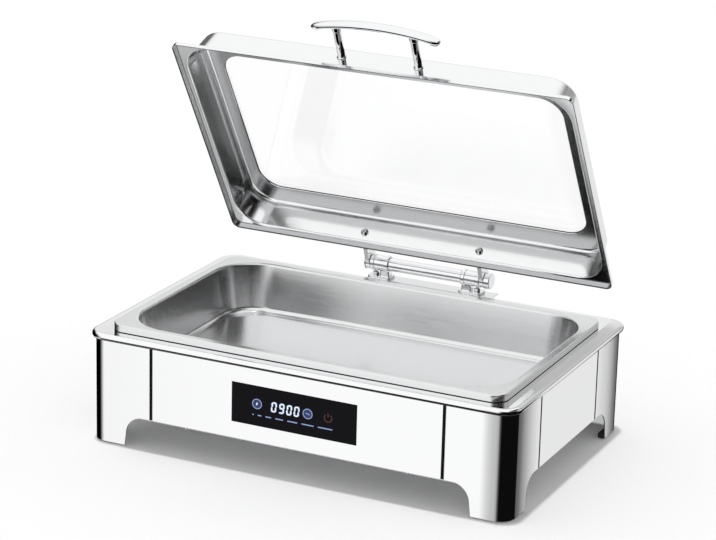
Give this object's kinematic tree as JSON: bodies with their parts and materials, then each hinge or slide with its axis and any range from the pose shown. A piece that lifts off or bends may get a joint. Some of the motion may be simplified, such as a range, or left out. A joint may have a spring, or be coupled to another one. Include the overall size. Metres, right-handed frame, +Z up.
{
  "type": "electric chafing dish",
  "caption": "Electric chafing dish: polished steel casing on corner legs, water and food pans, touch panel, and a glass-windowed lid on a damped rear hinge.",
  "frame": {"origin": "middle of the whole object's footprint, on the surface that it stands on", "axes": "+X to the object's right as seen from the front, -Y towards the front with the control panel, +Z up"},
  "size_m": [0.578, 0.4006, 0.5329],
  "materials": {
    "polished_steel": "mirror polished stainless sheet, with mill finish on the returns inside its seams",
    "satin_steel": "satin stainless sheet",
    "chrome": "bright chrome plate",
    "zinc_steel": "zinc plated steel",
    "aluminium": "milled",
    "black_glass": "polished, printed black on its back",
    "clear_glass": "clear toughened glass",
    "black_rubber": "matt",
    "black_plastic": "moulded",
    "white_plastic": "moulded",
    "ceramic_fibre": "pressed fibre board",
    "board_green": "solder resist",
    "relay_blue": "moulded",
    "display_light": "lit white and blue segments"
  },
  "bodies": {
    "base": {"base_plate": "zinc_steel", "base_screw_front_left": "zinc_steel", "base_screw_front_right": "zinc_steel", "base_screw_rear_left": "zinc_steel", "base_screw_rear_right": "zinc_steel", "bracket_screw_left": "zinc_steel", "bracket_screw_right": "zinc_steel", "control_board": "board_green", "control_housing": "black_plastic", "corner_post_front_left": "polished_steel", "corner_post_front_right": "polished_steel", "corner_post_rear_left": "polished_steel", "corner_post_rear_right": "polished_steel", "damper_cartridge": "black_plastic", "damper_tube": "chrome", "display_module": "display_light", "element_tray": "zinc_steel", "food_pan": "satin_steel", "foot_front_left": "black_rubber", "foot_front_right": "black_rubber", "foot_rear_left": "black_rubber", "foot_rear_right": "black_rubber", "front_panel": "polished_steel", "heat_spreader": "aluminium", "heating_element": "satin_steel", "hinge_bracket": "satin_steel", "hinge_saddle_left": "chrome", "hinge_saddle_right": "chrome", "insulation_board": "ceramic_fibre", "left_panel": "polished_steel", "power_board": "board_green", "power_inlet": "black_plastic", "power_relay": "relay_blue", "power_transformer": "black_plastic", "rear_panel": "polished_steel", "right_panel": "polished_steel", "saddle_bolt_left": "zinc_steel", "saddle_bolt_right": "zinc_steel", "temperature_sensor": "aluminium", "terminal_block": "white_plastic", "thermal_cutout": "black_plastic", "top_frame": "polished_steel", "touch_glass": "black_glass", "water_pan": "satin_steel"},
    "lid": {"handle_grip": "chrome", "handle_post_left": "chrome", "handle_post_right": "chrome", "handle_screw_left": "zinc_steel", "handle_screw_right": "zinc_steel", "hinge_arm_left": "chrome", "hinge_arm_right": "chrome", "hinge_end_cap_left": "chrome", "hinge_end_cap_right": "chrome", "hinge_shaft": "zinc_steel", "lid_bolt_left": "zinc_steel", "lid_bolt_right": "zinc_steel", "lid_shell": "polished_steel", "window_gasket": "black_rubber", "window_glass": "clear_glass"}
  },
  "joints": [
    {"name": "lid_hinge", "type": "hinge", "parent": "base", "child": "lid", "pos_m": [0, 0.1877, 0.161], "axis": [-1, 0, 0], "range_deg": [-58.5, 31.5]}
  ]
}
